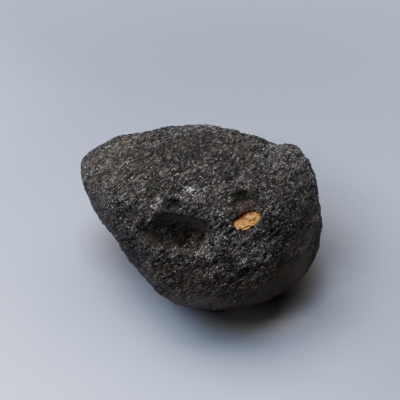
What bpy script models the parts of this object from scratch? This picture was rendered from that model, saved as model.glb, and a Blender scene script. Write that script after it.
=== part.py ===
"""Tektite: one stone of natural black glass, with a plug of orange laterite clay in a pit.

Frame: metres, +Z up. The stone stands on its worn foot at z = 0 and the origin lies
on the ground under the middle of the stone. The big hollow faces -Y, the blunt tip -X.

The stone is a rounded polyhedron: a ball of directions is pushed out to soft facets, then
gets broad swells, knobs, flow laminae (ledges where layers of the glass meet the surface)
and scoops (hollows left by burst bubbles and by corrosion in the soil).
"""
import math

import bmesh
import bpy
import numpy as np
from mathutils import Matrix, Vector

MM = 0.001

# ---- stone: all lengths in millimetres, all angles in degrees -------------------------------
CENTRE = (1.15, 0.28, 13.6)     # middle of the form above the ground point
FACET_SHARPNESS = 9.0          # larger values give crisper edges between the facets
BALL_DIVISIONS = 7             # fineness of the ball that the stone is shaped from
STONE_TRIANGLES = 9300         # triangles kept on the stone

# azimuth (from +X towards +Y), elevation, distance from CENTRE
FACETS = (
    (2, 2, 21.3), (335, -22, 23.1), (299, -38, 19.2), (262, -40, 17.4), (230, -34, 18.4),
    (206, -22, 16.7), (186, -6, 24.8), (158, 17, 28.4), (132, 32, 24.0), (107, 41, 18.8),
    (68, 42, 16.5), (40, 31, 21.3), (23, 19, 24.0), (150, 80, 13.6), (20, 72, 15.2),
    (262, 50, 15.8), (290, 18, 18.8), (325, 22, 21.0), (228, 22, 18.8), (78, 2, 19.8),
    (122, -12, 20.3), (38, -14, 21.0), (80, -48, 15.6), (168, -42, 17.8), (350, -52, 18.0),
    (0, -90, 14.3), (150, -70, 14.6),
)

# azimuth, elevation, height (negative for a dent), spread as an angle
KNOBS = (
    (26, 21, 1.6, 15), (157, 19, 1.2, 16), (178, 5, 0.9, 14), (331, -22, 0.4, 18),
    (41, 29, -1.7, 6), (90, 42, 0.8, 8), (218, -29, 0.5, 14), (204, -18, -0.5, 12),
    (252, -4, 0.3, 18), (240, 12, 0.4, 14), (55, 38, -0.5, 9), (285, -24, 0.2, 8),
    (283, -54, 1.9, 14), (318, -53, 1.6, 13), (35, 24, 0.5, 6),
)

# the waves of one noise differ in length by these factors
WAVE_RANGE = (0.75, 1.35)

# broad swells: wavelength, height, number of waves, seed
SWELLS = (
    (15.0, 0.20, 24, 3),
    (6.5, 0.10, 30, 4),
)

# flow laminae: layers of the glass, tilted as in the stone, that end in low ledges
LAMINA_NORMAL = (-0.414, 0.526, 0.743)
LAMINA_SPACING = 3.0
LAMINA_HEIGHT = 0.17
LAMINA_RISE = 0.72             # part of the spacing over which a ledge rises
LAMINA_WARP = (11.0, 0.5, 16, 7)       # wavelength, bending, number of waves, seed
LAMINA_PATCHES = (9.0, 0.5, 12, 8)     # wavelength, contrast, number of waves, seed
LAMINA_COVER = 0.55                    # middle strength of the patches
LAMINA_STRONGEST = 1.2
LAMINA_BASE = 0.4                      # part of the ledge height that lies inside the form

# 2 makes the mouth of a scoop an ellipse, more makes it squarer
SCOOP_CORNERS = 2.8

# scoops: middle (azimuth, elevation), opening direction (azimuth, elevation),
# half width, half height, roll, depth, softness of the rim
SCOOPS = (
    (252, 34.0, 262, 47, 4.8, 3.3, -6, 4.0, 0.35),
    (237, 33.5, 262, 47, 3.2, 2.7, 4, 2.7, 0.8),
    (229, 27.5, 250, 34, 2.8, 1.7, 14, 0.9, 0.8),
    (235, 49.5, 247, 50, 1.1, 0.9, 20, 0.6, 0.25),
    (211, 29, 225, 34, 2.3, 2.0, 30, 0.55, 0.3),
    (307, 53.5, 285, 46, 2.6, 2.0, -10, 1.3, 0.3),
    (330, 34, 322, 44, 3.2, 2.7, 20, 0.6, 0.7),
    (159, 62, 150, 80, 3.6, 3.0, 20, 0.5, 0.8),
    (313.8, 9.4, 305, 8, 1.3, 2.4, -8, 0.9, 0.3),
    (304, -8, 300, -12, 5.5, 3.4, 22, 0.5, 0.9),
    (284, -18, 284, -32, 3.0, 2.2, 24, 0.6, 0.3),
    (294, 13, 292, -4, 4.2, 1.3, 22, 0.7, 0.4),
    (283, 3, 282, -12, 6.5, 1.5, 28, 0.5, 0.4),
    (246, 17, 250, 4, 3.8, 1.2, 16, 0.6, 0.4),
    (240, -2, 240, -12, 4.0, 1.3, 24, 0.4, 0.4),
    (330, 6, 328, -6, 4.5, 1.3, 30, 0.4, 0.4),
    (75, 22, 78, 30, 4.6, 3.0, -18, 1.4, 0.7),
    (118, 8, 118, -2, 3.4, 2.4, 12, 1.2, 0.5),
    (52, -12, 54, -6, 3.0, 2.2, 40, 1.1, 0.4),
    (95, -20, 96, -26, 5.5, 1.6, -12, 0.7, 0.4),
    (5, 8, 4, 2, 2.6, 2.0, 20, 0.8, 0.4),
    (20, -26, 20, -30, 4.6, 1.5, 16, 0.6, 0.4),
    (150, -18, 152, -26, 4.4, 2.6, 10, 1.0, 0.6),
    (140, 44, 140, 58, 2.2, 1.6, 0, 0.6, 0.3),
    (190, -24, 192, -28, 3.6, 1.3, 30, 0.5, 0.4),
    (345, -34, 345, -38, 3.2, 2.4, 0, 0.8, 0.5),
    (250, -52, 250, -50, 3.2, 2.2, 30, 0.8, 0.4),
)

# ---- clay pit and the clay left in it --------------------------------------------------------
PIT_CENTRE = (7.75, -10.68, 24.52)    # on the stone's surface
PIT_OPENING = (275, 50)               # direction it opens towards: azimuth, elevation
PIT_ROLL = 22                         # long side rises to the right
PIT_HALF_SIZE = (2.40, 1.62, 1.75)    # half width, half height, depth
CLAY_GAP = 0.30                       # clearance between the clay and the pit wall
CLAY_SINK = 0.20                      # clay surface below the pit's rim
CLAY_DOME = 0.15                      # flatness of the clay's upper side
CLAY_LUMPS = (1.3, 0.06, 16, 21)      # wavelength, height, number of waves, seed
PIT_DIVISIONS = 4
CLAY_DIVISIONS = 3

STONE_COLOUR = (0.022, 0.021, 0.022, 1.0)
STONE_ROUGHNESS = 0.42
CLAY_COLOUR = (0.60, 0.28, 0.075, 1.0)
CLAY_ROUGHNESS = 0.95


def unit(azimuth, elevation):
    """Unit vectors for directions given in degrees."""
    a = np.radians(azimuth)
    e = np.radians(elevation)
    return np.stack([np.cos(e) * np.cos(a), np.cos(e) * np.sin(a), np.sin(e)], -1)


def wave_noise(points, length, count, seed):
    """Smooth noise: the sum of plane waves in seeded random directions."""
    rng = np.random.default_rng(seed)
    vectors = rng.normal(size=(count, 3))
    vectors /= np.linalg.norm(vectors, axis=1, keepdims=True)
    vectors *= 2 * np.pi / (length * rng.uniform(*WAVE_RANGE, (count, 1)))
    phases = rng.uniform(0, 2 * np.pi, count)
    return np.sin(points @ vectors.T + phases).sum(-1) * math.sqrt(2 / count)


def smooth_min(a, b, soft):
    """The smaller of two heights, blended where they are closer than soft."""
    share = np.clip(0.5 + 0.5 * (b - a) / soft, 0, 1)
    return b * (1 - share) + a * share - soft * share * (1 - share)


def facet_radius(directions):
    """Distance from the centre to the soft facets and knobs, for unit directions."""
    facets = np.array(FACETS, float)
    normals = unit(facets[:, 0], facets[:, 1])
    reach = np.maximum(directions @ normals.T, 0) / facets[:, 2]
    radius = (reach ** FACET_SHARPNESS).sum(-1) ** (-1 / FACET_SHARPNESS)
    for azimuth, elevation, height, spread in KNOBS:
        angle = np.degrees(np.arccos(np.clip(directions @ unit(azimuth, elevation), -1, 1)))
        radius = radius + height * np.exp(-(angle / spread) ** 2)
    return radius


def lamina_height(points):
    """Height of the flow ledges: a slow rise and a quick fall, fading in and out in patches."""
    warp_length, warp, warp_count, warp_seed = LAMINA_WARP
    level = points @ np.array(LAMINA_NORMAL)
    level = level + warp * wave_noise(points, warp_length, warp_count, warp_seed)
    part = level / LAMINA_SPACING
    part = part - np.floor(part)
    ramp = np.where(part < LAMINA_RISE, part / LAMINA_RISE, (1 - part) / (1 - LAMINA_RISE))
    ramp = ramp * ramp * (3 - 2 * ramp)
    length, contrast, count, seed = LAMINA_PATCHES
    patches = LAMINA_COVER + contrast * wave_noise(points, length, count, seed)
    patches = np.clip(patches, 0, LAMINA_STRONGEST)
    return LAMINA_HEIGHT * (ramp * patches - LAMINA_BASE)


def scoop_frame(opening, roll):
    """Two axes across a scoop: along its width and along its height."""
    up = np.array((0, 0, 1.0)) - opening[2] * opening
    up /= np.linalg.norm(up)
    right = np.cross(up, opening)
    c = math.cos(math.radians(roll))
    s = math.sin(math.radians(roll))
    return c * right + s * up, c * up - s * right


def cut_scoop(points, scoop):
    """Push the points inside one scoop down to its bowl, along the way it opens."""
    azimuth, elevation, open_azimuth, open_elevation, width, height, roll, depth, soft = scoop
    outward = unit(azimuth, elevation)
    middle = outward * facet_radius(outward)
    opening = unit(open_azimuth, open_elevation)
    across, along = scoop_frame(opening, roll)
    offset = points - middle
    level = offset @ opening
    reach = np.abs(np.stack([offset @ across / width, offset @ along / height]))
    bowl = depth * ((reach ** SCOOP_CORNERS).sum(0) ** (2 / SCOOP_CORNERS) - 1)
    lowered = np.minimum(smooth_min(level, bowl, soft), level)
    drop = np.where(points @ outward > 0, level - lowered, 0)
    return points - drop[:, None] * opening


def stone_points(directions):
    """Surface points of the stone, in mm above the ground point, for unit directions."""
    points = facet_radius(directions)[:, None] * directions
    swell = sum(height * wave_noise(points, length, count, seed)
                for length, height, count, seed in SWELLS)
    points = points + (swell + lamina_height(points))[:, None] * directions
    for scoop in SCOOPS:
        points = cut_scoop(points, scoop)
    points = points + np.array(CENTRE)
    points[:, 2] = np.maximum(points[:, 2], 0)
    return points


def clay_points(directions):
    """The clay lens in its pit's own axes: an ellipsoid with a nearly flat, lumpy top."""
    half = np.array(PIT_HALF_SIZE) - CLAY_GAP
    half[2] -= CLAY_SINK
    points = directions * half
    length, height, count, seed = CLAY_LUMPS
    top = np.clip(directions[:, 2], 0, 1)
    lumps = height * wave_noise(points, length, count, seed)
    points[:, 2] = np.where(points[:, 2] > 0, points[:, 2] * CLAY_DOME, points[:, 2])
    points[:, 2] += top * lumps - CLAY_SINK
    return points


def pit_matrix():
    """Places the pit's own axes (width, height, opening) on the stone, in metres."""
    opening = unit(*PIT_OPENING)
    across, along = scoop_frame(opening, PIT_ROLL)
    turn = Matrix((across, along, opening)).transposed().to_4x4()
    return Matrix.Translation(Vector(PIT_CENTRE) * MM) @ turn


def clear_scene():
    for thing in list(bpy.data.objects):
        bpy.data.objects.remove(thing)


def new_collection(name):
    collection = bpy.data.collections.new(name)
    bpy.context.scene.collection.children.link(collection)
    return collection


def new_material(name, colour, roughness):
    material = bpy.data.materials.new(name)
    material.use_nodes = True
    shader = material.node_tree.nodes["Principled BSDF"]
    shader.inputs["Base Color"].default_value = colour
    shader.inputs["Roughness"].default_value = roughness
    shader.inputs["Metallic"].default_value = 0.0
    material.diffuse_color = colour
    return material


def shaped_ball(name, divisions, shape, collection):
    """An icosphere whose points are moved by shape(), which works in mm on unit directions."""
    mesh = bpy.data.meshes.new(name)
    ball = bmesh.new()
    bmesh.ops.create_icosphere(ball, subdivisions=divisions, radius=1.0)
    directions = np.array([vertex.co for vertex in ball.verts], float)
    directions /= np.linalg.norm(directions, axis=1, keepdims=True)
    for vertex, point in zip(ball.verts, shape(directions) * MM):
        vertex.co = point
    ball.to_mesh(mesh)
    ball.free()
    mesh.shade_smooth()
    thing = bpy.data.objects.new(name, mesh)
    collection.objects.link(thing)
    return thing


def make_pit_cutter(collection):
    half = np.array(PIT_HALF_SIZE)
    cutter = shaped_ball("cut_pit", PIT_DIVISIONS, lambda d: d * half, collection)
    cutter.data.transform(pit_matrix())
    cutter.hide_render = True
    cutter.display_type = "WIRE"
    return cutter


def make_stone(collection, cutter):
    stone = shaped_ball("tektite", BALL_DIVISIONS, stone_points, collection)
    stone.data.materials.append(new_material("tektite", STONE_COLOUR, STONE_ROUGHNESS))
    pit = stone.modifiers.new("pit", "BOOLEAN")
    pit.operation = "DIFFERENCE"
    pit.solver = "EXACT"
    pit.object = cutter
    thin = stone.modifiers.new("thin", "DECIMATE")
    thin.ratio = STONE_TRIANGLES / len(stone.data.polygons)
    return stone


def make_clay(collection):
    clay = shaped_ball("pit_clay", CLAY_DIVISIONS, clay_points, collection)
    clay.data.transform(pit_matrix())
    clay.data.materials.append(new_material("pit_clay", CLAY_COLOUR, CLAY_ROUGHNESS))
    return clay


def main():
    clear_scene()
    parts = new_collection("tektite")
    cutters = new_collection("cutters")
    cutter = make_pit_cutter(cutters)
    make_stone(parts, cutter)
    make_clay(parts)


main()
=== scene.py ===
"""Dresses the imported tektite: a weathered black glass stone with orange clay in one pit."""

import itertools
import math

import bpy
import numpy as np
from bpy.props import FloatProperty, FloatVectorProperty, PointerProperty
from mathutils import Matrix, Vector


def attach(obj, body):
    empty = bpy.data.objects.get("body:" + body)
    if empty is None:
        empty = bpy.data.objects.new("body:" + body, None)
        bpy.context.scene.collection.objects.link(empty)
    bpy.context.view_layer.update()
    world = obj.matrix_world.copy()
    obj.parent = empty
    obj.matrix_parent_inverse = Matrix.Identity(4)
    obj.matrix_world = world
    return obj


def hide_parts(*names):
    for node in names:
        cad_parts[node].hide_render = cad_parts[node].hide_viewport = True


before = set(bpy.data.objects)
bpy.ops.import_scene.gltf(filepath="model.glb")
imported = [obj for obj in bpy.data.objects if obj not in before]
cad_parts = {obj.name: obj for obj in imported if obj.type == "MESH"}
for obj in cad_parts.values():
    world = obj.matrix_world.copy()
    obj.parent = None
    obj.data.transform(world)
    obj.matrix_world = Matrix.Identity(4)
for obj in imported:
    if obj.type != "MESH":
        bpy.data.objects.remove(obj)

bl_info = {
    "name": "Tektite",
    "version": (1, 0, 0),
    "blender": (4, 5, 0),
    "location": "3D View > Sidebar > Tektite",
    "description": "Builds a weathered natural-glass stone with a clay-filled pit",
    "category": "Add Mesh",
}

MM = 0.001

# ---- form of the stone, in millimetres and degrees: the same named values as its solid --------
CENTRE = (1.15, 0.28, 13.6)
FACET_SHARPNESS = 9.0                  # more makes the edges between the facets sharper

# azimuth (from +X towards +Y), elevation, distance from CENTRE
FACETS = (
    (2, 2, 21.3), (335, -22, 23.1), (299, -38, 19.2), (262, -40, 17.4), (230, -34, 18.4),
    (206, -22, 16.7), (186, -6, 24.8), (158, 17, 28.4), (132, 32, 24.0), (107, 41, 18.8),
    (68, 42, 16.5), (40, 31, 21.3), (23, 19, 24.0), (150, 80, 13.6), (20, 72, 15.2),
    (262, 50, 15.8), (290, 18, 18.8), (325, 22, 21.0), (228, 22, 18.8), (78, 2, 19.8),
    (122, -12, 20.3), (38, -14, 21.0), (80, -48, 15.6), (168, -42, 17.8), (350, -52, 18.0),
    (0, -90, 14.3), (150, -70, 14.6),
)

# azimuth, elevation, height (negative for a dent), spread as an angle
KNOBS = (
    (26, 21, 1.6, 15), (157, 19, 1.2, 16), (178, 5, 0.9, 14), (331, -22, 0.4, 18),
    (41, 29, -1.7, 6), (90, 42, 0.8, 8), (218, -29, 0.5, 14), (204, -18, -0.5, 12),
    (252, -4, 0.3, 18), (240, 12, 0.4, 14), (55, 38, -0.5, 9), (285, -24, 0.2, 8),
    (283, -54, 1.9, 14), (318, -53, 1.6, 13), (35, 24, 0.5, 6),
)

# the waves of one noise differ in length by these factors
WAVE_RANGE = (0.75, 1.35)

# broad swells: wavelength, height, number of waves, seed
SWELLS = (
    (15.0, 0.20, 24, 3),
    (6.5, 0.10, 30, 4),
)

# flow ledges: slanting steps across the stone
LAMINA_NORMAL = (-0.414, 0.526, 0.743)
LAMINA_SPACING = 3.0
LAMINA_HEIGHT = 0.17
LAMINA_RISE = 0.72                     # part of the spacing over which a ledge rises
LAMINA_WARP = (11.0, 0.5, 16, 7)       # wavelength, bending, number of waves, seed
LAMINA_PATCHES = (9.0, 0.5, 12, 8)     # wavelength, contrast, number of waves, seed
LAMINA_COVER = 0.55                    # middle strength of the patches
LAMINA_STRONGEST = 1.2
LAMINA_BASE = 0.4                      # part of the ledge height that lies inside the form

# 2 makes the mouth of a scoop an ellipse, more makes it squarer
SCOOP_CORNERS = 2.8

# scoops: middle (azimuth, elevation), opening direction (azimuth, elevation),
# half width, half height, roll, depth, softness of the rim
SCOOPS = (
    (252, 34.0, 262, 47, 4.8, 3.3, -6, 4.0, 0.35),
    (237, 33.5, 262, 47, 3.2, 2.7, 4, 2.7, 0.8),
    (229, 27.5, 250, 34, 2.8, 1.7, 14, 0.9, 0.8),
    (235, 49.5, 247, 50, 1.1, 0.9, 20, 0.6, 0.25),
    (211, 29, 225, 34, 2.3, 2.0, 30, 0.55, 0.3),
    (307, 53.5, 285, 46, 2.6, 2.0, -10, 1.3, 0.3),
    (330, 34, 322, 44, 3.2, 2.7, 20, 0.6, 0.7),
    (159, 62, 150, 80, 3.6, 3.0, 20, 0.5, 0.8),
    (313.8, 9.4, 305, 8, 1.3, 2.4, -8, 0.9, 0.3),
    (304, -8, 300, -12, 5.5, 3.4, 22, 0.5, 0.9),
    (284, -18, 284, -32, 3.0, 2.2, 24, 0.6, 0.3),
    (294, 13, 292, -4, 4.2, 1.3, 22, 0.7, 0.4),
    (283, 3, 282, -12, 6.5, 1.5, 28, 0.5, 0.4),
    (246, 17, 250, 4, 3.8, 1.2, 16, 0.6, 0.4),
    (240, -2, 240, -12, 4.0, 1.3, 24, 0.4, 0.4),
    (330, 6, 328, -6, 4.5, 1.3, 30, 0.4, 0.4),
    (75, 22, 78, 30, 4.6, 3.0, -18, 1.4, 0.7),
    (118, 8, 118, -2, 3.4, 2.4, 12, 1.2, 0.5),
    (52, -12, 54, -6, 3.0, 2.2, 40, 1.1, 0.4),
    (95, -20, 96, -26, 5.5, 1.6, -12, 0.7, 0.4),
    (5, 8, 4, 2, 2.6, 2.0, 20, 0.8, 0.4),
    (20, -26, 20, -30, 4.6, 1.5, 16, 0.6, 0.4),
    (150, -18, 152, -26, 4.4, 2.6, 10, 1.0, 0.6),
    (140, 44, 140, 58, 2.2, 1.6, 0, 0.6, 0.3),
    (190, -24, 192, -28, 3.6, 1.3, 30, 0.5, 0.4),
    (345, -34, 345, -38, 3.2, 2.4, 0, 0.8, 0.5),
    (250, -52, 250, -50, 3.2, 2.2, 30, 0.8, 0.4),
)

PIT_CENTRE = (7.75, -10.68, 24.52)     # on the stone's surface
PIT_OPENING = (275, 50)                # direction it opens towards: azimuth, elevation
PIT_ROLL = 22                          # its long side rises to the right

# ---- the pit as the clay fills it, and the clay, in millimetres -------------------------------
PIT_HALF_SIZE = (2.3, 1.34, 1.6)       # half width, half height, depth
PIT_RIM = 0.15                         # softness of its rim
PIT_WOBBLE = (1.1, 0.22, 71)           # noise on the pit's mouth: cells per mm, height, seed
PIT_TOUCH = 0.05                       # from this depth on a point lies inside the pit

CLAY_GRID = 40                         # squares along one edge of each of the clay's six grids
CLAY_SPREAD = 1.08                     # the clay's size over the pit's, to reach every wall
CLAY_BELLY = 0.8                       # the clay's depth over the pit's
CLAY_TOP = 0.08                        # how high its top bulges, over an ellipsoid's
CLAY_SINK = 0.10                       # how far its top lies below the stone's surface
CLAY_TILT = 0.45                       # how much lower it lies at its upper edge
CLAY_EDGE = 2                          # how quickly the crumbs rise from its rim

# noises of the clay: cells per mm, height, seed
CLAY_CRUMBS = ((2.4, 0.14, 61), (5.0, 0.14, 62))
CLAY_FLAKES = (1.6, 0.10, 63)
CLAY_RUST = (2.2, 0.45, 64)

FLAKE_STEPS = 2                        # levels that a flake can lie at on each side of the middle
CLAY_RUST_START = 0.2                  # rust at the middle of the clay
CRUMB_CONTRAST = 4                     # strength of the crumbs' colour over their height

# ---- patches of the stone's finish ------------------------------------------------------------
# bare dark glass on the surface, and in the big hollow also painted shade that darkens its crease
# and lit lower wall: azimuth, elevation, spread as an angle, strength
BARE_AND_SHADE_PATCHES = (
    (313.8, 9.4, 4.0, 1.0), (330, 33, 7.0, 0.5), (338, 26, 6.0, 0.6), (205, 26, 8.0, 0.4),
    (262, 8, 10, 0.3), (120, 65, 18, 0.75), (250, -10, 18, 0.35), (225, 4, 14, 0.35),
    (304, 53, 5.0, 0.75), (298, 52, 3.0, 0.4), (284, 17, 3.0, 0.9), (291, 22, 2.5, 0.7),
    (276, 12, 3.0, 0.6), (245, 35, 3.0, 0.35), (254, 37, 3.0, 0.3), (263, 37, 2.5, 0.35),
    (240, 30, 3.0, 0.7), (234, 27, 3.0, 0.9), (248, 31.5, 2.5, 0.7), (231, 31, 3.0, 0.6),
    (230, 25, 3.5, 1.1), (237, 25.5, 2.5, 0.9), (262, 47, 3.0, 0.6), (267, 46, 2.5, 0.6),
    (268, 40.5, 2.0, 0.5), (234, 49.8, 3.0, 0.9), (191, 34, 6.0, 0.4), (237, 48, 4.0, 0.3),
    (249, 51, 5.0, 0.4), (262, 53, 5.0, 0.3), (226, 42, 3.0, 0.3), (194, 24, 7.0, 0.35),
)

# lighter frosted film, and clusters of painted glints on bright flakes, in the same numbers
FROST_AND_GLINT_PATCHES = (
    (222, 46, 3.5, 0.4), (218, 43, 3.0, 0.3), (271, 26, 3.0, 0.6), (291, 17, 3.2, 1.2),
    (296, 14, 2.5, 1.0), (238, 7, 4.0, 0.5), (262, 25, 4.0, 0.4), (189, 42, 3.0, 0.7),
    (323, 62, 4.0, 0.5), (37, 24, 8.0, 0.5), (226, 36, 2.0, 0.9), (160, 26, 22, 0.32),
    (240, 62, 14, 0.4), (280, 45, 12, 0.5), (195, 25, 13, 0.5), (22, 36, 17, 0.68),
    (258, 60, 7.0, 0.5), (203, 25, 8.0, 0.3), (329, 33, 6.0, 0.3), (85, 36, 14, 0.4),
    (292, 31, 6.0, 0.7), (305, 25, 7.0, 0.8), (302, 16, 6.0, 0.8), (288, 22, 6.0, 0.6),
    (263, -2, 7.0, 0.5), (272, -4, 6.0, 0.5), (134, 33, 9.0, 0.3), (118, 39, 8.0, 0.45),
    (97, 42, 8.0, 0.45), (77, 35, 8.0, 0.45), (60, 25, 7.0, 0.3), (312, 42, 5.0, 0.6),
    (322, 40, 5.0, 0.5), (270, 20, 8.0, 0.4), (278, 35, 5.0, 0.4), (306, 33, 4.0, 0.4),
    (277, 14, 4.0, 0.5), (316, 10, 3.0, 0.7), (248, 24.5, 3.0, 0.5), (257, 27, 3.0, 0.5),
    (264, 29, 3.0, 0.5), (238, 22, 3.0, 0.6), (268, 33, 2.0, 0.8), (241.5, 63.4, 1.7, 3.2),
    (222.5, 48, 1.1, 1.5), (219.5, 41.8, 1.1, 1.3), (223.5, 42.4, 1.1, 1.3),
    (225.6, 34.5, 1.0, 1.8), (269.5, 27.5, 1.2, 0.9), (269, 24, 1.1, 0.9),
    (291.6, 18.8, 1.2, 1.2), (281.4, 18, 1.2, 1.4), (281.7, 34.2, 1.2, 1.5),
    (286, 43.5, 0.9, 1.8),
)

# smooth brown soil stain, and in the big hollow also painted shade on its lit lower wall, in the
# same numbers
STAIN_AND_SHADE_PATCHES = (
    (229, 27, 4.0, 0.35), (231, 37.5, 4.5, 0.9), (306, 52.5, 5.5, 0.22), (298, 49.5, 3.5, 0.2),
    (235, 49.5, 3.0, 0.3), (312, 50, 3.0, 0.2), (272, -6, 6.0, 0.4), (296, 30, 4.0, 0.5),
    (302, -10, 13, 0.9), (318, 0, 10, 0.8), (284, -24, 9.0, 0.7), (188, 21, 6.0, 0.35),
    (200, 18, 6.0, 0.35), (330, 12, 8.0, 0.3),
)

# dull dust inside the hollow, its paler colour also painted light that lifts the hollow's shaded
# roof and walls, in the same numbers
DUST_AND_PAINTED_LIGHT_PATCHES = (
    (238, 42, 4.0, 0.8), (247, 44, 4.5, 1.1), (247, 39, 4.0, 0.6), (256, 39, 4.0, 0.6),
    (257, 43.5, 4.5, 1.1), (265, 41.5, 3.5, 0.9), (305, 58, 3.0, 0.2),
)
DUST_SINK = (0.4, 1.4)                 # dust starts and is full where the wall lies this deep

# thin pale dust on the lower sides, also painted light that lifts their shaded, downward-facing
# parts, in the same numbers
HAZE_AND_PAINTED_LIGHT_PATCHES = (
    (334, 10, 7.0, 0.38), (329, 3, 7.0, 0.42), (341, 15, 7.0, 0.25), (323, -4, 7.0, 0.35),
    (268, -4, 6.0, 0.6), (254, -4, 6.0, 0.5), (261, 1, 4.0, 0.2), (276, -7, 5.0, 0.35),
    (168, 30, 18, 0.16), (40, 62, 16, 0.1), (100, 38, 12, 0.1),
)

# ochre tint of the film, in the same numbers
OCHRE_PATCHES = (
    (152, 33, 6.0, 0.9), (146, 36, 5.0, 0.6), (190, 45, 3.0, 0.7), (178, 52, 3.5, 0.5),
    (165, 20, 8.0, 0.4), (60, 40, 12, 0.4), (190, 20, 7.0, 0.5), (205, 18, 8.0, 0.6),
    (215, 12, 8.0, 0.6), (225, 8, 8.0, 0.5), (240, 8, 8.0, 0.3),
)

# rust-red stain round the clay, in the same numbers
RUST_PATCHES = (
    (299, 45.5, 1.7, 1.0), (304, 47, 1.8, 1.0), (311, 46, 1.8, 0.9), (294.5, 44.5, 1.8, 0.9),
    (289.5, 41.5, 1.8, 0.9), (293, 34.5, 2.5, 0.4), (298, 31.5, 2.5, 0.4), (297, 49.5, 1.8, 0.6),
    (306, 50.5, 1.8, 0.6), (318, 46, 1.5, 0.5),
)

# every kind of patch, by the name that the mesh keeps it under
PATCHES = {
    "bare": BARE_AND_SHADE_PATCHES, "frost": FROST_AND_GLINT_PATCHES, "stain": STAIN_AND_SHADE_PATCHES, "dust": DUST_AND_PAINTED_LIGHT_PATCHES,
    "rust": RUST_PATCHES, "ochre": OCHRE_PATCHES, "haze": HAZE_AND_PAINTED_LIGHT_PATCHES,
}

# ---- fine relief of the stone -----------------------------------------------------------------
GRID = 128                             # squares along one edge of each of its six grids
FIBRE_NORMAL = (-0.62, 0.47, 0.63)     # normal of the layers that the fine strokes lie in
PATCH_SMOOTHING = 0.8                  # the part of the relief that bare or stained glass loses
COVER = (0.5, 0.6, 16)                 # where relief shows: middle, contrast, number of waves

# bubble pits
BUBBLE_CELL = 1.9                      # spacing
BUBBLE_STRETCH = (1.35, 1.35, 0.8)     # lengths in the fibres' axes
BUBBLE_SCATTER = 0.7                   # how far they stray, in cells
BUBBLE_RADIUS = (0.22, 0.45)           # the least radius and what may be added, in cells
BUBBLE_SHARE = 0.6                     # the part of the cells that has a pit
BUBBLE_SEED = 50
BUBBLE_COVER = (8.0, 31)               # wavelength and seed of where they show

# fine ledges, in the layers of the fibres
FINE_SPACING = 1.15
FINE_RISE = 0.7                        # part of the spacing over which a ledge rises
FINE_WARP = (6.0, 0.35, 16, 33)        # wavelength, bending, number of waves, seed
FINE_COVER = (5.0, 35)                 # wavelength and seed of where they show
FINE_BASE = 0.4                        # part of the ledge height that lies inside the form

# two long grains and a round one: size over the middle grain's, weight, seed
LONG_GRAINS = ((2.2, 0.4, 11), (1.0, 0.5, 12))
ROUND_GRAIN = (0.7, 0.6, 13)
GRAIN_STRETCH = 2.0                    # how much longer a long grain is along the layers
GRAIN_SINK = 0.3                       # makes hollows deeper and ridges lower, by this part

# numbers that mix a cell's bits
CELL_PRIMES = (73856093, 19349663, 83492791)
SEED_MIX = (40503, 977)
BIT_MIX = ((15, 0x2C1B3C6D), (12, 0x297A2D39))
LAST_SHIFT = 15
WORD = 0xFFFFFFFF                      # keeps 32 bits

WELD = 1e5                             # one over the distance within which grid points are one
TINY = 1e-12                           # keeps a division by a length from failing


def unit(azimuth, elevation):
    """Unit vector: (cos e cos a, cos e sin a, sin e) for an azimuth a and an elevation e."""
    a = np.radians(azimuth)
    e = np.radians(elevation)
    return np.stack([np.cos(e) * np.cos(a), np.cos(e) * np.sin(a), np.sin(e)], -1)


def wave_noise(points, length, count, seed):
    """Sum of sines of (wave vector . point + phase), over seeded random wave vectors."""
    rng = np.random.default_rng(seed)
    vectors = rng.normal(size=(count, 3))
    vectors /= np.linalg.norm(vectors, axis=1, keepdims=True)
    vectors *= 2 * np.pi / (length * rng.uniform(*WAVE_RANGE, (count, 1)))
    phases = rng.uniform(0, 2 * np.pi, count)
    return np.sin(points @ vectors.T + phases).sum(-1) * math.sqrt(2 / count)


def smooth_min(a, b, soft):
    """The smaller of a and b, less soft * s * (1 - s) where they are closer than soft."""
    share = np.clip(0.5 + 0.5 * (b - a) / soft, 0, 1)
    return b * (1 - share) + a * share - soft * share * (1 - share)


def facet_radius(directions):
    """Radius (sum over facets of (d . n / h)^p)^(-1/p), plus a bell of height h per knob."""
    facets = np.array(FACETS, float)
    normals = unit(facets[:, 0], facets[:, 1])
    reach = np.maximum(directions @ normals.T, 0) / facets[:, 2]
    radius = (reach ** FACET_SHARPNESS).sum(-1) ** (-1 / FACET_SHARPNESS)
    for azimuth, elevation, height, spread in KNOBS:
        angle = np.degrees(np.arccos(np.clip(directions @ unit(azimuth, elevation), -1, 1)))
        radius = radius + height * np.exp(-(angle / spread) ** 2)
    return radius


def saw_ledge(level, spacing, rise):
    """A smoothed saw of level / spacing: up over the part rise, down over the rest, 0 to 1."""
    part = level / spacing
    part = part - np.floor(part)
    ramp = np.where(part < rise, part / rise, (1 - part) / (1 - rise))
    return ramp * ramp * (3 - 2 * ramp)


def lamina_height(points):
    """Ledge height: the saw of (point . lamina normal + slow noise), faded by patches."""
    warp_length, warp, warp_count, warp_seed = LAMINA_WARP
    level = points @ np.array(LAMINA_NORMAL)
    level = level + warp * wave_noise(points, warp_length, warp_count, warp_seed)
    length, contrast, count, seed = LAMINA_PATCHES
    patches = LAMINA_COVER + contrast * wave_noise(points, length, count, seed)
    patches = np.clip(patches, 0, LAMINA_STRONGEST)
    return LAMINA_HEIGHT * (saw_ledge(level, LAMINA_SPACING, LAMINA_RISE) * patches - LAMINA_BASE)


def scoop_frame(opening, roll):
    """Two axes across a scoop: right and up seen from outside, turned by the roll."""
    up = np.array((0, 0, 1.0)) - opening[2] * opening
    up /= np.linalg.norm(up)
    right = np.cross(up, opening)
    c = math.cos(math.radians(roll))
    s = math.sin(math.radians(roll))
    return c * right + s * up, c * up - s * right


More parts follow.
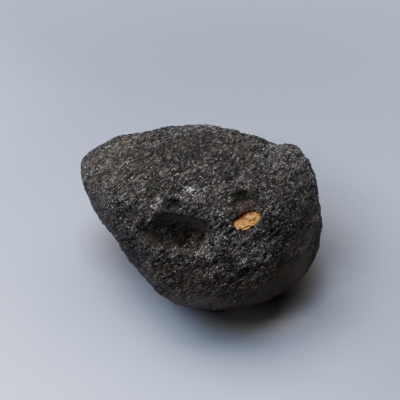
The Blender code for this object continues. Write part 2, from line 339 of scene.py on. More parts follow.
def cut_scoop(points, scoop):
    """Lower each point's height along the opening to at most depth * (reach^2 - 1).

    The reach is ((x / width)^q + (y / height)^q)^(1 / q), so q above 2 squares the corners.
    """
    azimuth, elevation, open_azimuth, open_elevation, width, height, roll, depth, soft = scoop
    outward = unit(azimuth, elevation)
    middle = outward * facet_radius(outward)
    opening = unit(open_azimuth, open_elevation)
    across, along = scoop_frame(opening, roll)
    offset = points - middle
    level = offset @ opening
    reach = np.abs(np.stack([offset @ across / width, offset @ along / height]))
    bowl = depth * ((reach ** SCOOP_CORNERS).sum(0) ** (2 / SCOOP_CORNERS) - 1)
    lowered = np.minimum(smooth_min(level, bowl, soft), level)
    drop = np.where(points @ outward > 0, level - lowered, 0)
    return points - drop[:, None] * opening


def cut_pit(points):
    """The clay's pit: height lowered to -depth sqrt(1 - x^2/w^2 - y^2/l^2) inside its mouth."""
    opening = unit(*PIT_OPENING)
    across, along = scoop_frame(opening, PIT_ROLL)
    width, height, depth = PIT_HALF_SIZE
    offset = points - (np.array(PIT_CENTRE) - np.array(CENTRE))
    level = offset @ opening
    reach = (offset @ across / width) ** 2 + (offset @ along / height) ** 2
    scale, wobble, seed = PIT_WOBBLE
    reach = reach + wobble * value_noise(points * scale, seed)
    bowl = -depth * np.sqrt(np.clip(1 - reach, 0, 1))
    lowered = np.minimum(smooth_min(level, bowl, PIT_RIM), level)
    drop = np.where((reach < 1) & (level > -2 * depth), level - lowered, 0)
    return points - drop[:, None] * opening, drop


# ---- noise on a lattice -----------------------------------------------------------------------
def lattice(cells, seed):
    """Repeatable numbers 0 to 1 for whole-number cells, by mixing their bits."""
    x, y, z = (cells[..., axis] * prime for axis, prime in enumerate(CELL_PRIMES))
    seed_factor, seed_start = SEED_MIX
    bits = (x ^ y ^ z ^ (seed * seed_factor + seed_start)) & WORD
    for shift, factor in BIT_MIX:
        bits = ((bits ^ (bits >> shift)) * factor) & WORD
    return (bits ^ (bits >> LAST_SHIFT)) / (WORD + 1.0)


def value_noise(points, seed):
    """Lattice numbers at the eight corners of each point's cell, blended by 6t^5-15t^4+10t^3."""
    cell = np.floor(points).astype(np.int64)
    t = points - cell
    t = t * t * t * (t * (t * 6 - 15) + 10)
    total = 0
    for corner in itertools.product((0, 1), repeat=3):
        weight = np.prod(np.where(np.array(corner) == 1, t, 1 - t), axis=-1)
        total = total + weight * lattice(cell + np.array(corner), seed)
    return total * 2 - 1


def bubble_pits(points):
    """Bowls 1 - (distance / radius)^2 round one seeded point in each kept cell, deepest wins."""
    cell = np.floor(points).astype(np.int64)
    seed = BUBBLE_SEED
    least, more = BUBBLE_RADIUS
    deepest = np.zeros(len(points))
    for step in itertools.product((-1, 0, 1), repeat=3):
        near = cell + np.array(step)
        stray = np.stack([lattice(near, seed + axis) - 0.5 for axis in range(3)], -1)
        middle = near + 0.5 + BUBBLE_SCATTER * stray
        radius = least + more * lattice(near, seed + 3) ** 2
        bowl = 1 - ((points - middle) ** 2).sum(-1) / radius ** 2
        bowl = np.where(lattice(near, seed + 4) < BUBBLE_SHARE, bowl * radius, 0)
        deepest = np.maximum(deepest, bowl)
    return deepest


def fibre_axes():
    """Axes of the fine strokes' layers: two lying in them and their normal."""
    normal = np.array(FIBRE_NORMAL) / np.linalg.norm(FIBRE_NORMAL)
    first = np.cross(normal, (0, 0, 1.0))
    first /= np.linalg.norm(first)
    return np.stack([first, np.cross(normal, first), normal])


def long_grain(points, size, seed):
    """Value noise in the fibres' axes, stretched along their layers."""
    length = size * GRAIN_STRETCH
    scale = np.array((1 / length, 1 / length, 1 / size))
    return value_noise((points @ fibre_axes().T) * scale, seed)


# ---- meshes -----------------------------------------------------------------------------------
def ball_grid(n):
    """Six square grids of tan-spaced (u, v) on a cube's faces, made unit length and welded."""
    t = np.tan(np.linspace(-math.pi / 4, math.pi / 4, n + 1))
    u, v = np.meshgrid(t, t, indexing="ij")
    o = np.ones_like(u)
    sides = [(o, u, v), (-o, -u, v), (-u, o, v), (u, -o, v), (-v, u, o), (v, u, -o)]
    points = np.stack([np.stack(side, -1) for side in sides]).reshape(-1, 3)
    points /= np.linalg.norm(points, axis=-1, keepdims=True)
    keys = np.round(points * WELD).astype(np.int64)
    _, first, index = np.unique(keys, axis=0, return_index=True, return_inverse=True)
    grid = index.reshape(6, n + 1, n + 1)
    quads = np.stack([grid[:, :-1, :-1], grid[:, 1:, :-1], grid[:, 1:, 1:], grid[:, :-1, 1:]], -1)
    return points[first], quads.reshape(-1, 4)


def vertex_normals(points, quads):
    """Unit sum, at each point, of the cross products of its squares' diagonals."""
    a, b, c, d = (points[quads[:, i]] for i in range(4))
    face = np.cross(c - a, d - b)
    normals = np.zeros_like(points)
    for axis in range(3):
        for corner in range(4):
            normals[:, axis] += np.bincount(quads[:, corner], face[:, axis], len(points))
    return normals / np.maximum(np.linalg.norm(normals, axis=1, keepdims=True), TINY)


def make_mesh(name, points, quads, values):
    """A mesh object from points in metres and squares, with a number per point for each name."""
    mesh = bpy.data.meshes.new(name)
    mesh.vertices.add(len(points))
    mesh.vertices.foreach_set("co", points.astype(np.float32).ravel())
    mesh.loops.add(quads.size)
    mesh.loops.foreach_set("vertex_index", quads.astype(np.int32).ravel())
    mesh.polygons.add(len(quads))
    mesh.polygons.foreach_set("loop_start", np.arange(0, quads.size, 4, dtype=np.int32))
    mesh.update(calc_edges=True)
    mesh.validate()
    for key, numbers in values.items():
        layer = mesh.attributes.new(key, "FLOAT", "POINT")
        layer.data.foreach_set("value", numbers.astype(np.float32))
    mesh.shade_smooth()
    thing = bpy.data.objects.new(name, mesh)
    bpy.context.scene.collection.objects.link(thing)
    return thing


def patches_at(directions, patches):
    """Sum over the patches of strength * exp(-(angle / spread)^2)."""
    total = np.zeros(len(directions))
    for azimuth, elevation, spread, strength in patches:
        angle = np.degrees(np.arccos(np.clip(directions @ unit(azimuth, elevation), -1, 1)))
        total += strength * np.exp(-(angle / spread) ** 2)
    return total


def finish_patches(directions, sunk):
    """Strength of each kind of patch, with the dust and its painted light only where the scoops
    sink the surface.
    """
    values = {name: patches_at(directions, patches) for name, patches in PATCHES.items()}
    start, full = DUST_SINK
    deep = np.clip((sunk - start) / (full - start), 0, 1)
    values["dust"] = deep * np.clip(values["dust"], 0, 1)
    values["haze"] = np.clip(values["haze"], 0, 1)
    return values


def relief_cover(points, length, seed):
    """Where a relief shows, 0 to 1: middle + contrast * wave noise, clipped."""
    middle, contrast, count = COVER
    return np.clip(middle + contrast * wave_noise(points, length, count, seed), 0, 1)


def fine_ledges(points):
    """The saw of (point . fibre normal + slow noise), faded by its cover."""
    length, warp, count, seed = FINE_WARP
    level = points @ np.array(FIBRE_NORMAL) + warp * wave_noise(points, length, count, seed)
    ledges = saw_ledge(level, FINE_SPACING, FINE_RISE) * relief_cover(points, *FINE_COVER)
    return ledges - FINE_BASE


def grain_relief(points, size):
    """Weighted sum r of two long grains and a round one, less a part of its size |r|."""
    relief = sum(weight * long_grain(points, part * size, seed)
                 for part, weight, seed in LONG_GRAINS)
    part, weight, seed = ROUND_GRAIN
    relief = relief + weight * value_noise(points / (part * size), seed)
    return relief - GRAIN_SINK * np.abs(relief)


def stone_surface(settings):
    """Points of the stone in mm, and its relief and patch values.

    The form is the facets' radius, swells and ledges along each direction, less the scoops and
    the clay's pit. Along its normals it then gets bubble pits, fine ledges and three sizes of
    grain, all weaker where the glass is bare or stained. Nothing goes below the ground.
    """
    directions, quads = ball_grid(GRID)
    points = facet_radius(directions)[:, None] * directions
    swell = sum(height * wave_noise(points, length, count, seed)
                for length, height, count, seed in SWELLS)
    points = points + (swell + lamina_height(points))[:, None] * directions
    whole = points
    for scoop in SCOOPS:
        points = cut_scoop(points, scoop)
    patches = finish_patches(directions, np.linalg.norm(points - whole, axis=1))
    points, pit = cut_pit(points)
    smoothed = np.clip(np.maximum(patches["bare"], patches["stain"]), 0, 1)
    kept = 1 - PATCH_SMOOTHING * smoothed

    normals = vertex_normals(points, quads)
    stretched = (points @ fibre_axes().T) / (BUBBLE_CELL * np.array(BUBBLE_STRETCH))
    bubbles = bubble_pits(stretched) * relief_cover(points, *BUBBLE_COVER)
    bubbles = settings.pit_depth / MM * bubbles * kept * (pit < PIT_TOUCH)
    ledges = settings.ledge_height / MM * fine_ledges(points) * kept
    points = points + normals * (ledges - bubbles)[:, None]

    normals = vertex_normals(points, quads)
    relief = grain_relief(points, settings.grain_size / MM)
    points = points + normals * (settings.grain_height / MM * relief * kept)[:, None]
    points = points + np.array(CENTRE)
    points[:, 2] = np.maximum(points[:, 2], 0)
    return points, quads, {"relief": relief, **patches}


def clay_surface(settings):
    """Points of the clay in mm, and its crumb and rust values.

    In the pit's axes a direction (x, y, z) becomes (w x, l y, d z), an ellipsoid. Its upper half
    is flattened, and crumbs and flakes of noise lift it along the opening.
    """
    directions, quads = ball_grid(CLAY_GRID)
    width, height, depth = PIT_HALF_SIZE
    points = directions * np.array((width, height, depth * CLAY_BELLY)) * CLAY_SPREAD
    top = np.clip(directions[:, 2] * CLAY_EDGE, 0, 1)
    crumbs = sum(lift * value_noise(points * scale, seed) for scale, lift, seed in CLAY_CRUMBS)
    scale, lift, seed = CLAY_FLAKES
    steps = np.round(value_noise(points * scale, seed) * FLAKE_STEPS) / FLAKE_STEPS
    crumbs = crumbs + steps * lift
    upward = points[:, 1] / height
    scale, contrast, seed = CLAY_RUST
    rust = upward + contrast * value_noise(points * scale, seed) + CLAY_RUST_START
    points[:, 2] = np.where(points[:, 2] > 0, points[:, 2] * CLAY_TOP, points[:, 2])
    points[:, 2] += top * (crumbs - CLAY_TILT * np.maximum(upward, 0)) - CLAY_SINK
    opening = unit(*PIT_OPENING)
    across, along = scoop_frame(opening, PIT_ROLL)
    points = points @ np.stack([across, along, opening]) + np.array(PIT_CENTRE)
    return points, quads, {"crumb": crumbs * CRUMB_CONTRAST, "rust": rust}


# ---- materials --------------------------------------------------------------------------------
PER_MM = (1000, 1000, 1000)            # scale that turns metres into millimetres
STROKE_SCALE = (800, 800, 3300)        # the same, for strokes that lie in the fibres' layers
FLAKE_SCALE = (1000, 1000, 1600)       # and for flakes

# noises of the glass: waves per mm, detail, roughness
BROAD_NOISE = (0.16, 3.0, 0.55)
STROKE_NOISE = (1.3, 2.0, 0.6)
CRUMB_NOISE = (2.8, 2.0, 0.6)
SPECK_NOISE = (5.0, 1.0, 0.5)
HUE_NOISE = (1.3, 2.0, 0.5)
HUE_ON_FILM = 0.3                      # how much of the hue noise shows on the film
HUE_ON_SOIL = 0.5

# a fade is: value where it starts, value where it ends, amount at the start, amount at the end
# fades of the grey film
STROKE_FILM = (0.36, 0.66, 0.0, 0.50)
CRUMB_FILM = (0.40, 0.66, 0.0, 0.16)
SPECK_FILM = (0.44, 0.64, 0.0, 0.42)
RELIEF_FILM = (-0.7, 0.7, -0.20, 0.14)
BROAD_FILM = (0.3, 0.7, 0.80, 1.05)
FROST_CONTRAST = (0, 1, 2.8, 2.1)
BARE_FILM = (0, 1, 1, 0.15)
FROST_FILM = (0, 1, 1, 1.35)
OCHRE_FILM = (0, 1, 0, 0.7)
CRUMB_OCHRE = (0.35, 0.6, 0, 1)

# fades of the soil, the dust and the rust; the fade by the height in mm browns the stone towards
# the table, a painted offset of the blue light bounced off it
BROAD_SOIL = (0.5, 0.72, 0, 1)
SPECK_SOIL = (0.45, 0.65, 0, 0.5)
LOW_BROWN_OFFSET = (16, 5, 0, 0.55)
STAIN_SOIL = (0, 1, 0, 1)
RUST_EDGE = (0.2, 0.9, 0, 0.9)
CRUMB_RUST = (0.3, 0.5, 0, 1)

# fades of the painted glints: bright colour on facets picked at random, and on flakes where the
# frost is strong
FROST_PICK = (0, 1, 0, 0.08)
CRUMB_PICK = (0.35, 0.6, 0.06, 0)
GLINT_PICK = (0.92, 1.0, 0, 1)
GLINT_CELLS = 3.4                      # cells per mm
GLINT_SIZE = (0.3, 0.6, 1, 0)
GLINT_DULL = (0, 1, 1, 0.1)
CRUMB_FLAKE = (0.38, 0.62, -0.9, 0.9)
SPECK_FLAKE = (0.38, 0.62, -0.5, 0.5)
FLAKE_GLINT = (1.7, 2.1, 0, 0.9)

# fades of the tint: by the height in mm, warmer towards the table as a painted offset of its blue
# bounced light, and by the stain
LOW_TINT = (24, 8, 0, 1)
STAIN_TINT = (0, 1, 0, 0.5)
WHITE = (1.0, 1.0, 1.0)

FILM_ROUGHNESS = (0.0, 0.6, 0.42, 0.65)
GLINT_POLISH = 0.2                     # how much smoother a glint is
DULL_BUMP = (0, 1, 1, 0.3)
CRUMB_BUMP = 0.0004                    # heights of the bumps, in metres
SPECK_BUMP = 0.00025
GLASS_IOR = 1.5
GLASS_SPECULAR = 0.04

# noises and fades of the clay
BLOTCH_NOISE = (2.2, 4.0, 0.65)
DOT_NOISE = (4.5, 2.0, 0.6)
BLOTCH_CLAY = (0.32, 0.56, 0, 1)
CRUMB_PALE = (-0.2, 0.9, 0, 0.6)
RUST_CLAY = (0.0, 0.8, 0, 0.9)
DOT_DARK = (0.58, 0.66, 0, 0.9)
RUST_AND_RIM_SHADE = (0.60, 1.0, 0, 0.95)
BLOTCH_BUMP = (0.00025, 0.9)           # height in metres, strength
DOT_BUMP = (0.00012, 0.8)
CLAY_ROUGHNESS = 0.92

# the table top: its tooth, and the painted light that brightens it along x + y, in mm
TOOTH_NOISE = (1.2, 2.0, 0.55)
TOOTH_FADE = (0.3, 0.7, 0, 1)
TOOTH_DARK = 0.97
PAINTED_LIGHT_END = (30, -90, 0, 1)
FLOOR_ROUGHNESS = 0.6

# painted shadows on the table round the stone, darkening it, some lightening or browning the
# lamps' own shadow: middle and half size in mm, strongest, the parts of the half size where the
# painted shadow starts to fade and ends, and its colour
BLACK = (0.0, 0.0, 0.0)
PAINTED_FLOOR_SHADOWS = (
    ((-30, 10, 0), (22, 28, 1), 0.16, 0.6, 1.4, BLACK),
    ((5, 60, 0), (60, 30, 1), 0.20, 0.3, 1.3, BLACK),
    ((45, -30, 0), (25, 30, 1), 0.16, 0.3, 1.3, BLACK),
    ((8, 7, 0), (24, 22, 1), 0.78, 0.5, 1.35, (0.066, 0.058, 0.034)),
    ((11.4, -20.5, 0), (10, 7, 1), 0.30, 0.2, 1.4, BLACK),
    ((23, -13, 0), (9, 8, 1), 0.26, 0.2, 1.4, BLACK),
    ((24, 2.5, 0), (7, 7, 1), 0.36, 0.2, 1.4, BLACK),
    ((-14, 5.5, 0), (9, 8, 1), 0.55, 0.4, 1.3, (0.07, 0.05, 0.02)),
    ((9.5, -13.2, 0), (9, 4.5, 1), 0.80, 0.4, 1.3, (0.37, 0.36, 0.37)),
    ((14.5, -3.5, 0), (9, 9, 1), 0.95, 0.55, 1.2, (0.032, 0.022, 0.012)),
)


class Nodes:
    """Adds and links the nodes of one material."""

    def __init__(self, name):
        self.material = bpy.data.materials.new(name)
        self.material.use_nodes = True
        self.tree = self.material.node_tree
        self.shader = self.tree.nodes["Principled BSDF"]

    def feed(self, socket, value):
        """Link an input to a node's output, or set it to a number, a vector or a colour."""
        if isinstance(value, bpy.types.NodeSocket):
            self.tree.links.new(value, socket)
        elif socket.type == "RGBA":
            socket.default_value = (*value[:3], 1.0)
        else:
            socket.default_value = value

    def add(self, kind, values=None, **properties):
        """A node with its properties set and its inputs fed."""
        node = self.tree.nodes.new(kind)
        for key, value in properties.items():
            setattr(node, key, value)
        for key, value in (values or {}).items():
            self.feed(node.inputs[key], value)
        return node

    def coords(self, scale, turn=(0, 0, 0)):
        """Object coordinates scaled by three factors, after a turn in degrees."""
        place = self.add("ShaderNodeTexCoord").outputs["Object"]
        turn = tuple(math.radians(angle) for angle in turn)
        turned = self.add("ShaderNodeMapping", {"Vector": place, "Rotation": turn}).outputs[0]
        return self.add("ShaderNodeMapping", {"Vector": turned, "Scale": scale}).outputs[0]

    def noise(self, vector, scale, detail, rough, output=0):
        """A noise's value, or its colour where the output is 1."""
        return self.add("ShaderNodeTexNoise", {"Vector": vector, "Scale": scale, "Detail": detail,
                                               "Roughness": rough}).outputs[output]

    def attribute(self, name):
        """The number that the mesh keeps under this name."""
        return self.add("ShaderNodeAttribute", attribute_name=name).outputs["Fac"]

    def math(self, kind, a, b, clamp=False):
        """A sum, product or other arithmetic of two numbers, clamped to 0..1 if asked."""
        return self.add("ShaderNodeMath", {0: a, 1: b}, operation=kind, use_clamp=clamp).outputs[0]

    def fade(self, value, low, high, start, end):
        """value mapped from low..high to start..end, clamped."""
        return self.add("ShaderNodeMapRange", {"Value": value, "From Min": low, "From Max": high,
                                               "To Min": start, "To Max": end}).outputs[0]

    def mix(self, share, a, b, blend="MIX"):
        """Colour a with this share of colour b over it."""
        node = self.add("ShaderNodeMix", {0: share, 6: a, 7: b}, data_type="RGBA",
                        blend_type=blend)
        return node.outputs[2]

    def bump(self, height, distance, strength, under=None):
        """A normal bumped by a height, over the normal of another bump where one is given."""
        values = {"Height": height, "Distance": distance, "Strength": strength}
        if under is not None:
            values["Normal"] = under
        return self.add("ShaderNodeBump", values).outputs[0]

    def shade(self, **values):
        """Feed the shader's inputs, named with underscores, and return the material."""
        for key, value in values.items():
            self.feed(self.shader.inputs[key.replace("_", " ")], value)
        return self.material


def fibre_turn():
    """Turn, in degrees, that brings the fibres' normal to +Z for a Mapping node."""
    x, y, z = np.array(FIBRE_NORMAL) / np.linalg.norm(FIBRE_NORMAL)
    about_x = math.degrees(math.atan2(y, z))
    about_y = math.degrees(-math.atan2(x, math.hypot(y, z)))
    return about_x, about_y, 0


def film_share(nodes, marks, broad, stroke, crumb, speck):
    """Share of grey film: strokes, crumbs, specks and ridges added up, then given contrast."""
    film = nodes.math("ADD", nodes.fade(stroke, *STROKE_FILM), nodes.fade(crumb, *CRUMB_FILM))
    film = nodes.math("ADD", film, nodes.fade(speck, *SPECK_FILM))
    film = nodes.math("ADD", film, nodes.fade(marks["relief"], *RELIEF_FILM))
    film = nodes.math("MULTIPLY", film, nodes.fade(broad, *BROAD_FILM), clamp=True)
    film = nodes.math("POWER", film, nodes.fade(marks["frost"], *FROST_CONTRAST))
    film = nodes.math("MULTIPLY", film, nodes.fade(marks["bare"], *BARE_FILM))
    return nodes.math("MULTIPLY", film, nodes.fade(marks["frost"], *FROST_FILM), clamp=True)


def painted_glint_share(nodes, marks, dull, flakes, crumb, speck):
    """Share of painted glints: bright colour on a few random cells, and on crumbs and specks in
    strong frost.
    """
    cells = nodes.add("ShaderNodeTexVoronoi", {"Vector": flakes, "Scale": GLINT_CELLS})
    pick = nodes.add("ShaderNodeSeparateColor", {"Color": cells.outputs["Color"]}).outputs[0]
    pick = nodes.math("ADD", pick, nodes.fade(marks["frost"], *FROST_PICK))
    pick = nodes.math("SUBTRACT", pick, nodes.fade(crumb, *CRUMB_PICK))
    near = nodes.fade(cells.outputs["Distance"], *GLINT_SIZE)
    painted_glint = nodes.math("MULTIPLY", nodes.fade(pick, *GLINT_PICK), near)
    painted_glint = nodes.math("MULTIPLY", painted_glint, nodes.fade(dull, *GLINT_DULL))
    # painted glints on flakes where the frost is strong
    painted_flake = nodes.math("ADD", marks["frost"], nodes.fade(crumb, *CRUMB_FLAKE))
    painted_flake = nodes.math("ADD", painted_flake, nodes.fade(speck, *SPECK_FLAKE))
    return nodes.math("MAXIMUM", painted_glint, nodes.fade(painted_flake, *FLAKE_GLINT))


def glass_material(settings):
    """Weathered black glass: dark in its pits, a grey film in fine strokes, painted glints on tiny
    bright flakes, and painted light and shade in the hollow and on the lower sides.
    """
    nodes = Nodes("weathered glass")
    layers = nodes.coords(STROKE_SCALE, fibre_turn())
    flakes = nodes.coords(FLAKE_SCALE, fibre_turn())
    plain = nodes.coords(PER_MM)
    marks = {name: nodes.attribute(name) for name in ("relief", *PATCHES)}
    marks["bare"] = nodes.math("ADD", marks["bare"], 0.0, clamp=True)
    broad = nodes.noise(plain, *BROAD_NOISE)
    stroke = nodes.noise(layers, *STROKE_NOISE)
    crumb = nodes.noise(plain, *CRUMB_NOISE)
    speck = nodes.noise(flakes, *SPECK_NOISE)
    hue = nodes.noise(plain, *HUE_NOISE, output=1)
    height = nodes.add("ShaderNodeSeparateXYZ", {"Vector": plain}).outputs["Z"]

    share = film_share(nodes, marks, broad, stroke, crumb, speck)
    ochre = nodes.math("MULTIPLY", nodes.fade(marks["ochre"], *OCHRE_FILM),
                       nodes.fade(crumb, *CRUMB_OCHRE))
    film = nodes.mix(ochre, settings.film_colour, settings.ochre_colour)
    film = nodes.mix(HUE_ON_FILM, film, hue, "OVERLAY")
    colour = nodes.mix(share, settings.glass_colour, film)

    # stain, plus browning towards the table that offsets the blue light bounced off it
    stain = nodes.math("ADD", marks["stain"], nodes.fade(height, *LOW_BROWN_OFFSET))
    brown = nodes.math("MULTIPLY", nodes.fade(broad, *BROAD_SOIL), nodes.fade(speck, *SPECK_SOIL))
    brown = nodes.math("MAXIMUM", brown, nodes.fade(stain, *STAIN_SOIL))
    brown = nodes.math("MAXIMUM", brown, marks["dust"])
    # stain colour turning to the dust colour, which is also painted light that lifts the hollow's
    # shaded walls
    soil = nodes.mix(marks["dust"], settings.stain_colour, settings.dust_and_painted_light_colour)
    colour = nodes.mix(brown, colour, nodes.mix(HUE_ON_SOIL, soil, hue, "OVERLAY"))
    rusty = nodes.math("MULTIPLY", nodes.fade(marks["rust"], *RUST_EDGE),
                       nodes.fade(crumb, *CRUMB_RUST))
    colour = nodes.mix(rusty, colour, settings.rust_colour)
    # pale dust, also painted light on the shaded lower sides
    colour = nodes.mix(marks["haze"], colour, settings.haze_and_painted_light_colour)

    dull = nodes.math("MAXIMUM", nodes.math("MAXIMUM", marks["bare"], marks["dust"]), stain)
    painted_glint = painted_glint_share(nodes, marks, dull, flakes, crumb, speck)
    # painted glints: bright base colour in place of light glinting off facets
    colour = nodes.mix(painted_glint, colour, settings.painted_glint_colour)
    # warmer towards the table: a painted offset of the blue light bounced off it
    low = nodes.math("MAXIMUM", nodes.fade(height, *LOW_TINT), nodes.fade(stain, *STAIN_TINT))
    colour = nodes.mix(1.0, colour, nodes.mix(low, WHITE, settings.painted_bounce_tint), "MULTIPLY")

    rough = nodes.math("SUBTRACT", nodes.fade(share, *FILM_ROUGHNESS),
                       nodes.math("MULTIPLY", painted_glint, GLINT_POLISH))
    soft = nodes.fade(dull, *DULL_BUMP)
    bump = nodes.bump(speck, SPECK_BUMP, soft, nodes.bump(crumb, CRUMB_BUMP, soft))
    return nodes.shade(Base_Color=colour, Roughness=rough, Normal=bump, IOR=GLASS_IOR,
                       Specular_IOR_Level=GLASS_SPECULAR)


def clay_material(settings):
    """Dry orange laterite clay: ochre crumbs, rust-brown cracks, pale grains, and painted shade
    along its upper edge under the pit's rim.
    """
    nodes = Nodes("laterite clay")
    plain = nodes.coords(PER_MM)
    crumb = nodes.attribute("crumb")
    rust = nodes.attribute("rust")
    blotch = nodes.noise(plain, *BLOTCH_NOISE)
    dots = nodes.noise(plain, *DOT_NOISE)
    colour = nodes.mix(nodes.fade(blotch, *BLOTCH_CLAY), settings.clay_dark, settings.clay_colour)
    colour = nodes.mix(nodes.fade(crumb, *CRUMB_PALE), colour, settings.clay_pale)
    colour = nodes.mix(nodes.fade(rust, *RUST_CLAY), colour, settings.clay_rust)
    colour = nodes.mix(nodes.fade(dots, *DOT_DARK), colour, settings.clay_dark)
    # painted shade: the clay turns dark at its upper edge, under the pit's rim
    colour = nodes.mix(nodes.fade(rust, *RUST_AND_RIM_SHADE), colour, settings.clay_dark)
    bump = nodes.bump(dots, *DOT_BUMP, nodes.bump(blotch, *BLOTCH_BUMP))
    return nodes.shade(Base_Color=colour, Roughness=CLAY_ROUGHNESS, Normal=bump)


def floor_material(settings):
    """Pale blue-grey matt table top with a faint fine tooth, painted light towards the near left
    and painted shadows round the stone.
    """
    nodes = Nodes("pale table")
    plain = nodes.coords(PER_MM)
    tooth = nodes.fade(nodes.noise(plain, *TOOTH_NOISE), *TOOTH_FADE)
    darker = tuple(part * TOOTH_DARK for part in settings.floor_colour)
    colour = nodes.mix(tooth, darker, settings.floor_colour)
    across = nodes.add("ShaderNodeSeparateXYZ", {"Vector": plain}).outputs
    slope = nodes.math("ADD", across["X"], across["Y"])
    # painted light: the table top gets brighter towards the near left
    colour = nodes.mix(nodes.fade(slope, *PAINTED_LIGHT_END), colour, settings.floor_painted_light)
    # painted shadows: each darkens, lightens or tints the table's colour round the stone
    for middle, reach, strongest, start, end, shade in PAINTED_FLOOR_SHADOWS:
        place = nodes.add("ShaderNodeVectorMath", {0: plain, 1: middle}, operation="SUBTRACT")
        place = nodes.add("ShaderNodeVectorMath", {0: place.outputs[0], 1: reach},
                          operation="DIVIDE")
        away = nodes.add("ShaderNodeVectorMath", {0: place.outputs[0]}, operation="LENGTH")
        share = nodes.fade(away.outputs["Value"], start, end, strongest, 0)
        colour = nodes.mix(share, colour, shade)
    return nodes.shade(Base_Color=colour, Roughness=FLOOR_ROUGHNESS)


# ---- stage, in metres -------------------------------------------------------------------------
FLOOR_HALF = 3.0                       # half the width of the table top
ROOM_COLOUR = (1.0, 0.94, 0.88, 1.0)
ROOM_STRENGTH = 0.13
LIGHT_TARGET = (0, 0, 0.013)
LIGHT_COLOUR = (1.0, 0.985, 0.985)
LIGHT_SIZE = 0.60
LEFT_WINDOW = (-0.227, 0.061, 0.454)
BACK_WINDOW = (0.041, 0.231, 0.454)
CAMERA_AIM = (-0.00032, 0.00219, 0.01532)
CAMERA_ELEVATION = 48                  # in degrees
SENSOR_WIDTH = 36                      # in millimetres
NEAREST_SEEN = 0.01


# ---- settings, operators and panel ------------------------------------------------------------
def colour_setting(name, description, default):
    """A colour that the user may change."""
    return FloatVectorProperty(name=name, description=description, default=default,
                               subtype="COLOR", size=3, min=0.0, max=1.0)


def length_setting(name, description, default):
    """A length, in metres, that the user may change."""
    return FloatProperty(name=name, description=description, default=default,
                         unit="LENGTH", subtype="DISTANCE", min=0.0)


class TektiteSettings(bpy.types.PropertyGroup):
    """Fine relief and colours of the stone and its clay."""

    grain_size: length_setting("Grain size", "Thickness of the middle grain", 0.00042)
    grain_height: length_setting("Grain height", "Height of the grain", 0.00024)
    ledge_height: length_setting("Ledge height", "Height of the fine flow ledges", 0.00016)
    pit_depth: length_setting("Pit depth", "Depth of the small bubble pits", 0.00040)
    glass_colour: colour_setting("Glass", "Bare black glass in the pits", (0.0070, 0.0064, 0.0064))
    film_colour: colour_setting("Film", "Grey film on the ridges", (0.300, 0.284, 0.276))
    stain_colour: colour_setting("Stain", "Brown soil stain", (0.037, 0.032, 0.0225))
    # painted light: a warm tint towards the table that offsets the blue light bounced off it
    painted_bounce_tint: colour_setting("Soil tint", "Tint of the sides near the ground", (1.0, 0.80, 0.64))
    # dust inside the hollow, also painted light that lifts its shaded walls
    dust_and_painted_light_colour: colour_setting("Dust", "Dust inside the hollow", (0.056, 0.047, 0.043))
    rust_colour: colour_setting("Rust", "Rust stain round the clay", (0.034, 0.013, 0.008))
    ochre_colour: colour_setting("Ochre", "Ochre tint of the film", (0.29, 0.23, 0.16))
    # pale dust, also painted light on the shaded lower sides
    haze_and_painted_light_colour: colour_setting("Haze", "Pale dust on the lower sides", (0.110, 0.097, 0.086))
    # painted glints: colour of the tiny bright specks that stand in for light glinting off facets
    painted_glint_colour: colour_setting("Glint", "Tiny bright facets", (0.46, 0.46, 0.475))
    clay_colour: colour_setting("Clay", "Ochre clay", (0.76, 0.385, 0.080))
    # also the painted shade along the clay's upper edge
    clay_dark: colour_setting("Clay cracks", "Rust-brown cracks", (0.15, 0.05, 0.018))
    clay_rust: colour_setting("Clay rust", "Rust stain at the upper edge", (0.40, 0.17, 0.06))
    clay_pale: colour_setting("Clay grains", "Pale grains in the clay", (0.92, 0.625, 0.225))


class StageSettings(bpy.types.PropertyGroup):
    """Table top, lights and camera."""

    floor_colour: colour_setting("Floor", "Colour of the table top", (0.250, 0.304, 0.450))
    # painted light: the table top's colour at its bright near-left end
    floor_painted_light: colour_setting("Floor, bright end", "Colour of the table top at the near left",
                                (0.59, 0.70, 1.0))
    key_power: FloatProperty(name="Left light", description="Power of the light at the left",
                             default=4.15, min=0.0, unit="POWER")
    back_power: FloatProperty(name="Back light", description="Power of the light at the back",
                              default=3.5, min=0.0, unit="POWER")
    camera_distance: length_setting("Camera distance", "From the camera to its aim", 0.204)
    lens: FloatProperty(name="Lens", description="Focal length", default=100.0, min=1.0,
                        unit="CAMERA")


class TEKTITE_OT_stone(bpy.types.Operator):
    """Build the weathered glass stone"""

    bl_idname = "tektite.stone"
    bl_label = "Stone"

    def execute(self, context):
        settings = context.scene.tektite
        points, quads, values = stone_surface(settings)
        stone = make_mesh("weathered_stone", points * MM, quads, values)
        stone.data.materials.append(glass_material(settings))
        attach(stone, "root")
        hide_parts("tektite")
        return {"FINISHED"}


class TEKTITE_OT_clay(bpy.types.Operator):
    """Build the clay in the pit"""

    bl_idname = "tektite.clay"
    bl_label = "Clay"

    def execute(self, context):
        settings = context.scene.tektite
        points, quads, values = clay_surface(settings)
        clay = make_mesh("clay_plug", points * MM, quads, values)
        clay.data.materials.append(clay_material(settings))
        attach(clay, "root")
        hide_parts("pit_clay")
        return {"FINISHED"}


def aim(thing, place, target):
    """Put a camera or a light at a place, looking at a target."""
    thing.location = place
    thing.rotation_euler = (Vector(target) - Vector(place)).to_track_quat("-Z", "Y").to_euler()


def add_window(name, place, power):
    """A round soft light at a place, turned to the stone."""
    data = bpy.data.lights.new(name, "AREA")
    data.shape = "DISK"
    data.size = LIGHT_SIZE
    data.energy = power
    data.color = LIGHT_COLOUR
    light = bpy.data.objects.new(name, data)
    bpy.context.scene.collection.objects.link(light)
    aim(light, place, LIGHT_TARGET)


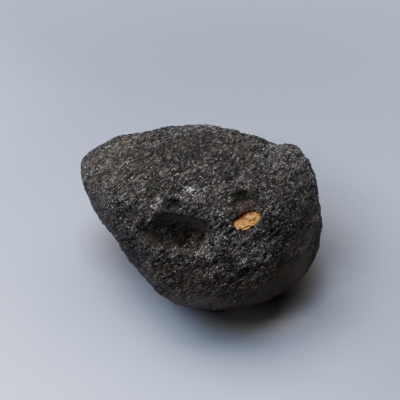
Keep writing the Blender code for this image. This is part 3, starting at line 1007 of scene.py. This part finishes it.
def add_camera(distance, lens):
    """A camera that looks down at its aim from the front, at CAMERA_ELEVATION."""
    data = bpy.data.cameras.new("view")
    data.lens = lens
    data.sensor_width = SENSOR_WIDTH
    data.clip_start = NEAREST_SEEN
    camera = bpy.data.objects.new("view", data)
    bpy.context.scene.collection.objects.link(camera)
    elevation = math.radians(CAMERA_ELEVATION)
    x, y, z = CAMERA_AIM
    place = (x, y - distance * math.cos(elevation), z + distance * math.sin(elevation))
    aim(camera, place, CAMERA_AIM)
    return camera


class TEKTITE_OT_stage(bpy.types.Operator):
    """Build the table top, the lights and the camera"""

    bl_idname = "tektite.stage"
    bl_label = "Stage"

    def execute(self, context):
        scene = context.scene
        settings = scene.tektite_stage
        mesh = bpy.data.meshes.new("table_top")
        half = FLOOR_HALF
        mesh.from_pydata([(-half, -half, 0), (half, -half, 0), (half, half, 0), (-half, half, 0)],
                         [], [(0, 1, 2, 3)])
        floor = bpy.data.objects.new("table_top", mesh)
        scene.collection.objects.link(floor)
        floor.data.materials.append(floor_material(settings))

        world = bpy.data.worlds.new("soft room")
        scene.world = world
        world.use_nodes = True
        background = world.node_tree.nodes["Background"]
        background.inputs["Color"].default_value = ROOM_COLOUR
        background.inputs["Strength"].default_value = ROOM_STRENGTH

        add_window("left window", LEFT_WINDOW, settings.key_power)
        add_window("back window", BACK_WINDOW, settings.back_power)
        scene.camera = add_camera(settings.camera_distance, settings.lens)
        return {"FINISHED"}


class TEKTITE_PT_panel(bpy.types.Panel):
    """Lists the stone's pieces and their settings"""

    bl_label = "Tektite"
    bl_idname = "TEKTITE_PT_panel"
    bl_space_type = "VIEW_3D"
    bl_region_type = "UI"
    bl_category = "Tektite"

    def draw(self, context):
        for operator in (TEKTITE_OT_stone, TEKTITE_OT_clay, TEKTITE_OT_stage):
            self.layout.operator(operator.bl_idname)
        for group in (context.scene.tektite, context.scene.tektite_stage):
            for key in group.bl_rna.properties.keys():
                if key not in {"rna_type", "name"}:
                    self.layout.prop(group, key)


CLASSES = (TektiteSettings, StageSettings, TEKTITE_OT_stone, TEKTITE_OT_clay, TEKTITE_OT_stage,
           TEKTITE_PT_panel)


def register():
    """Add the settings, the operators and the panel."""
    for cls in CLASSES:
        bpy.utils.register_class(cls)
    bpy.types.Scene.tektite = PointerProperty(type=TektiteSettings)
    bpy.types.Scene.tektite_stage = PointerProperty(type=StageSettings)


def unregister():
    """Take them away again."""
    del bpy.types.Scene.tektite_stage
    del bpy.types.Scene.tektite
    for cls in reversed(CLASSES):
        bpy.utils.unregister_class(cls)


def main():
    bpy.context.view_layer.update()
    register()
    bpy.ops.tektite.stone()
    bpy.ops.tektite.clay()
    bpy.ops.tektite.stage()


if __name__ == "__main__":
    main()
